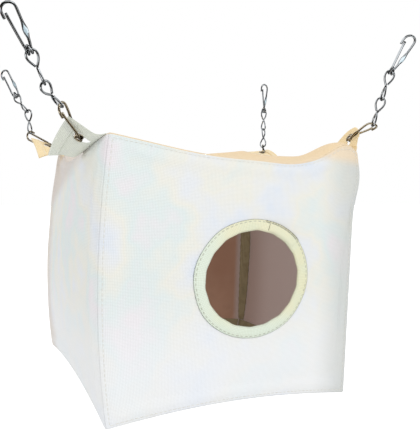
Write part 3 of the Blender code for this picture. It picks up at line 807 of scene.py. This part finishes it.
# The hole: a round where the coil sits, which narrows to a tip towards the root
COIL_ALONG = 14 * MM
COIL_OUT = 18 * MM
HOLE_RADIUS = 5 * MM
HOLE_TIP = 3.5 * MM
HOLE_ROUND_SHARE = 0.35
HOLE_NARROW = 0.72
# The front right tab is cut smaller: beyond a line near its hole it has only this share of the
# others' length, and its outer edge is rounded towards both of its ends
TRIMMED_FROM = 22 * MM
TRIMMED_TO = 0.5
NEAR_END_REACH = 10 * MM
NEAR_END_CUT = 0.36
FAR_END_FROM = 16 * MM
FAR_END_CUT = 0.5

tab_threads = (TAB_WIDTH / THREAD_SPACING, 43 * MM / THREAD_SPACING)
# The tabs' duck is the same cloth. The front left one is a little greyer: painted shade.
shaded_tab_duck = woven(
    "shaded_tab_cotton_duck",
    tab_threads,
    ("#e6e9e2", "#eef1e6", "#e2e4e2"),
    painted_gap_shade="#dedfda",
    depth=0.3 * MM,
    patch_size=25 * MM,
)
# The other three are drawn cream: painted warm light, with a painted glow.
warm_lit_tab_duck = woven(
    "warm_lit_tab_cotton_duck",
    tab_threads,
    ("#f3dfb4", "#f6e4be", "#efdab0"),
    painted_gap_shade="#e6dfd0",
    depth=0.3 * MM,
    patch_size=25 * MM,
    painted_glow=0.15,
)

# The heading and slope, in degrees, of each corner's lower snap and of its tab's root
CORNERS = {
    "front_left": {"side": (-1, -1), "snap": (-134, 44), "root": (107, -26)},
    "front_right": {"side": (1, -1), "snap": (-86, 21), "root": (91, -12)},
    "back_left": {"side": (-1, 1), "snap": (127, 20), "root": (-84, -16)},
    "back_right": {"side": (1, 1), "snap": (60, 10), "root": (-90, -8)},
}


def heading(azimuth, slope):
    """A unit direction from a heading seen from above and a slope."""
    turn = math.radians(azimuth)
    lift = math.radians(slope)
    return Vector((math.cos(turn) * math.cos(lift), math.sin(turn) * math.cos(lift), math.sin(lift)))


def side_seam(side, along, drawn=1):
    """A point just outside the side seam at the top, a length along it from the corner."""
    y = side[1] * (HALF - TAB_FROM_CORNER - along)
    return hung((side[0] * HALF, y, CUBE), drawn) + Vector((side[0] * MM, 0, 0))


def tab_place(corner, along, out):
    """A point of the tab: its root follows the seam and its far outer corner droops."""
    side = CORNERS[corner]["side"]
    root = heading(*CORNERS[corner]["root"])
    lower = heading(*CORNERS[corner]["snap"])
    outward = (lower - root * lower.dot(root)).normalized()
    start = side_seam(side, 0, 0) + root * along
    hold = max(0.0, 1 - out / (COIL_OUT - HOLE_RADIUS))
    droop = TAB_DROOP * (along / TAB_WIDTH * out / TAB_LENGTH) ** 2
    to_seam = side_seam(side, along) - start + Vector((-side[0] * CAUGHT_INSIDE, 0, -CAUGHT_BELOW))
    return start + outward * out + to_seam * hold**2 - Vector((0, 0, droop))


def trimmed(along, out):
    """How far out a place of the tab lies on the smaller one."""
    near_end = max(0, 1 - along / NEAR_END_REACH) ** 2
    far_end = max(0, (along - FAR_END_FROM) / (TAB_WIDTH - FAR_END_FROM)) ** 2
    nearer = out - max(0, out - TRIMMED_FROM) * (1 - TRIMMED_TO)
    return nearer * (1 - NEAR_END_CUT * near_end - FAR_END_CUT * far_end)


def tab_point(corner, along, out, height):
    """A point a height above the tab on its front, which curls up at its far end."""
    if corner == "front_right":
        out = trimmed(along, out)
    place = tab_place(corner, along, out)
    beside = tab_place(corner, along + MM, out) - place
    beyond = tab_place(corner, along, out + MM) - place
    normal = beside.cross(beyond).normalized()
    front = -1 if normal.y > 0 else 1
    far_end = max(0, 2 * along / TAB_WIDTH - 1) ** 4
    curl = TAB_CURL * far_end * min(out / TAB_LENGTH, 1)
    return place + normal * front * (height + curl)


def hem_fold(length):
    """How far out and how high a place lies at a length along the tab, which folds back as its hem."""
    straight = TAB_LENGTH - HEM_BEND
    if length < straight:
        return length, -HEM_BEND
    swing = (length - straight) / HEM_BEND
    if swing < math.pi:
        return straight + HEM_BEND * math.sin(swing), -HEM_BEND * math.cos(swing)
    return straight - (length - straight - math.pi * HEM_BEND), HEM_BEND


def hole_edge(place):
    """How far outside the lens shaped hole a flat place of the tab lies: below 0 is in the hole."""
    aside = place.x
    reach = COIL_OUT - HOLE_TIP
    if place.y > -reach * HOLE_ROUND_SHARE:
        return math.hypot(aside, place.y) - HOLE_RADIUS
    share = (place.y + reach) / (reach * (1 - HOLE_ROUND_SHARE))
    if share > 0:
        return abs(aside) - HOLE_RADIUS * share * HOLE_NARROW
    return math.hypot(aside, place.y + reach)


TAB_SQUARES = 72
# The length of a tab's cloth, from its root round the bend to the end of the hem
TAB_CLOTH = TAB_LENGTH + HEM_WIDTH + MM

coil = Vector((COIL_ALONG, COIL_OUT, 0))
for corner in CORNERS:
    tab = add_grid(f"canvas_tab_{corner}", TAB_SQUARES, TAB_SQUARES)
    for vertex in tab.data.vertices:
        vertex.co = Vector(((vertex.co.x + 0.5) * TAB_WIDTH, (vertex.co.y + 0.5) * TAB_CLOTH, 0))
    delete_faces(tab, lambda place: hole_edge(place - coil) < 0)
    for vertex in tab.data.vertices:
        offset = vertex.co - coil
        out, height = hem_fold(vertex.co.y)
        ripple = 0.0
        if height < 0:
            ripple = RIPPLE * math.exp(-max(hole_edge(offset), 0) / RIPPLE_REACH)
            ripple *= math.sin(RIPPLES * math.atan2(offset.y, offset.x))
        uneven = noise.noise(vertex.co * 70 + Vector((0, 0, 9 * len(corner))))
        wave = TAB_WAVE * vertex.co.x / TAB_WIDTH * uneven
        vertex.co = tab_point(corner, vertex.co.x, out, height + ripple + wave)
    tab.data.materials.append(shaded_tab_duck if corner == "front_left" else warm_lit_tab_duck)
    thicken(tab, TAB_CANVAS, 0)
    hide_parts(f"corner_tab_{corner}")
    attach(tab, "canvas")
    count = int(TAB_WIDTH / STITCH_PITCH)
    middles = [TAB_WIDTH * (number + 0.5) / count for number in range(count)]
    rows = []
    for line, above in (
        (TAB_LENGTH - HEM_WIDTH + HEM_ROW_INSET, HEM_BEND + TAB_CANVAS / 2),
        (END_ROW, 0),
    ):
        rows += one_row(
            lambda along, height: tab_point(corner, along, line, height),
            middles,
            STITCH_LENGTH / 2,
            above,
        )
    stitch_rows(f"tab_stitches_{corner}", rows)

# The wire snaps, their springy gates and the chain links. All are bent from drawn steel wire and bright
# zinc plated after bending. Their bright, dull and dark bands are painted reflections, and the lower
# snaps and their gates are drawn in warmer, browner tones. Each piece is a copy of its solid in the
# frame, with the wire rounded.
# The painted reflection is a noise read from the way each wire's surface faces, moved by this much
PAINTED_REFLECTION_SHIFT = (3.1, 0.4, 1.7)
# Where the painted reflection's three tones stand in the noise, from dark to bright
PAINTED_REFLECTION_STOPS = (0.46, 0.54, 0.6)


def plated_wire(name, tones, rough):
    """Zinc plated steel wire with painted reflections: bright, dull and dark bands set by the way its
    surface faces, which run along a straight wire.
    """
    made, tree, output = blank_material(name)
    place = add_node(tree, "ShaderNodeTexCoord")
    facing = {"Vector": place.outputs["Normal"], "Location": PAINTED_REFLECTION_SHIFT}
    facing = add_node(tree, "ShaderNodeMapping", facing)
    painted_reflection = {"Vector": facing.outputs[0], "Scale": 1.7, "Detail": 1.5}
    painted_reflection = add_node(tree, "ShaderNodeTexNoise", painted_reflection)
    ramp = add_node(tree, "ShaderNodeValToRGB", {0: painted_reflection.outputs[0]})
    ramp.color_ramp.elements.new(0.5)
    for element, position, code in zip(ramp.color_ramp.elements, PAINTED_REFLECTION_STOPS, tones):
        element.position = position
        element.color = paint(code)
    metal = {
        "Base Color": ramp.outputs[0],
        "Metallic": 1.0,
        "Roughness": rough,
        "Specular Tint": paint("#201d1a"),
    }
    metal = add_node(tree, "ShaderNodeBsdfPrincipled", metal)
    tree.links.new(metal.outputs[0], output.inputs["Surface"])
    return made


bright_zinc = plated_wire("bright_zinc_plated_wire", ("#151412", "#3d3b38", "#d5dade"), 0.16)
brown_toned_zinc = plated_wire("brown_toned_zinc_plated_wire", ("#231c14", "#6a5d47", "#dfd4bd"), 0.2)
# The flat pad of an upper snap is drawn pale and a little blue: a painted highlight on its flats
pad_highlight_zinc = plated_wire("zinc_pad_painted_highlight", ("#9fb0b8", "#c2d0d6", "#e6eff3"), 0.25)

WIRE_RADIUS = 1.1 * MM
# Subdividing draws an eight sided wire in by a tenth, so it is first swelled by half as much
WIRE_SWELL = 0.05 * WIRE_RADIUS
# A link's two ends are bent in until they touch its waist
LINK_END = 1.2 * MM
# A face whose corners bend away from it by less than this lies on a flat
FLAT = math.radians(4.5)
# The wire's cut ends are its only edges that bend by more than this
CUT_END = math.radians(70)
# Two triangles of the wire join where they bend and slant by less than these
QUAD_BEND = math.radians(40)
QUAD_SLANT = math.radians(60)


def rounded_wire(node, body, look, slot, longer=0.0, flat_look=None):
    """A rounder copy of a wire solid, in its place, with its cut ends kept square and drawn out.

    The flat look is the look of its flats, where they have their own: a pale painted highlight."""
    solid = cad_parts[node]
    piece = solid.copy()
    piece.data = solid.data.copy()
    for key in list(piece.keys()):
        del piece[key]
    piece.parent = None
    piece.matrix_world = Matrix.Identity(4)
    piece.name = f"wire_{node}"
    bpy.context.scene.collection.objects.link(piece)
    open_edit(piece)
    bpy.ops.object.mode_set(mode="EDIT")
    bpy.ops.mesh.select_all(action="SELECT")
    bpy.ops.mesh.remove_doubles(threshold=0.01 * MM)
    bpy.ops.mesh.tris_convert_to_quads(face_threshold=QUAD_BEND, shape_threshold=QUAD_SLANT)
    bpy.ops.transform.shrink_fatten(value=WIRE_SWELL, use_even_offset=True)
    bpy.ops.mesh.select_all(action="DESELECT")
    bpy.ops.mesh.select_mode(type="EDGE")
    bpy.ops.mesh.edges_select_sharp(sharpness=CUT_END)
    bpy.ops.transform.edge_crease(value=1.0)
    bpy.ops.object.mode_set(mode="OBJECT")
    ends = {}
    for face in piece.data.polygons:
        if all(piece.data.vertices[number].select for number in face.vertices):
            ends.update({number: face.normal.copy() for number in face.vertices})
    for number, outward in ends.items():
        piece.data.vertices[number].co += outward * longer
    smooth = piece.modifiers.new("round", "SUBSURF")
    smooth.levels = 2
    smooth.render_levels = 2
    bpy.ops.object.modifier_apply(modifier=smooth.name)
    piece.data.materials.clear()
    piece.data.materials.append(look)
    if flat_look:
        piece.data.materials.append(flat_look)
        for face in piece.data.polygons:
            normals = [piece.data.vertices[number].normal for number in face.vertices]
            face.material_index = int(max(normal.angle(face.normal) for normal in normals) < FLAT)
    piece.data.shade_smooth()
    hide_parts(node)
    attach(piece, body)


for corner in CORNERS:
    for kind, slot in (("snap", "snap_wire"), ("gate", "gate_wire"), ("link", "chain_wire")):
        for level in ("lower", "upper"):
            name = f"{level}_{kind}_{corner}"
            look = brown_toned_zinc if level == "lower" and kind != "link" else bright_zinc
            longer = LINK_END if kind == "link" else 0
            # The upper snaps' flat pads are given a pale painted highlight
            flat_look = pad_highlight_zinc if level == "upper" and kind == "snap" else None
            rounded_wire(name, name, look, slot, longer, flat_look)
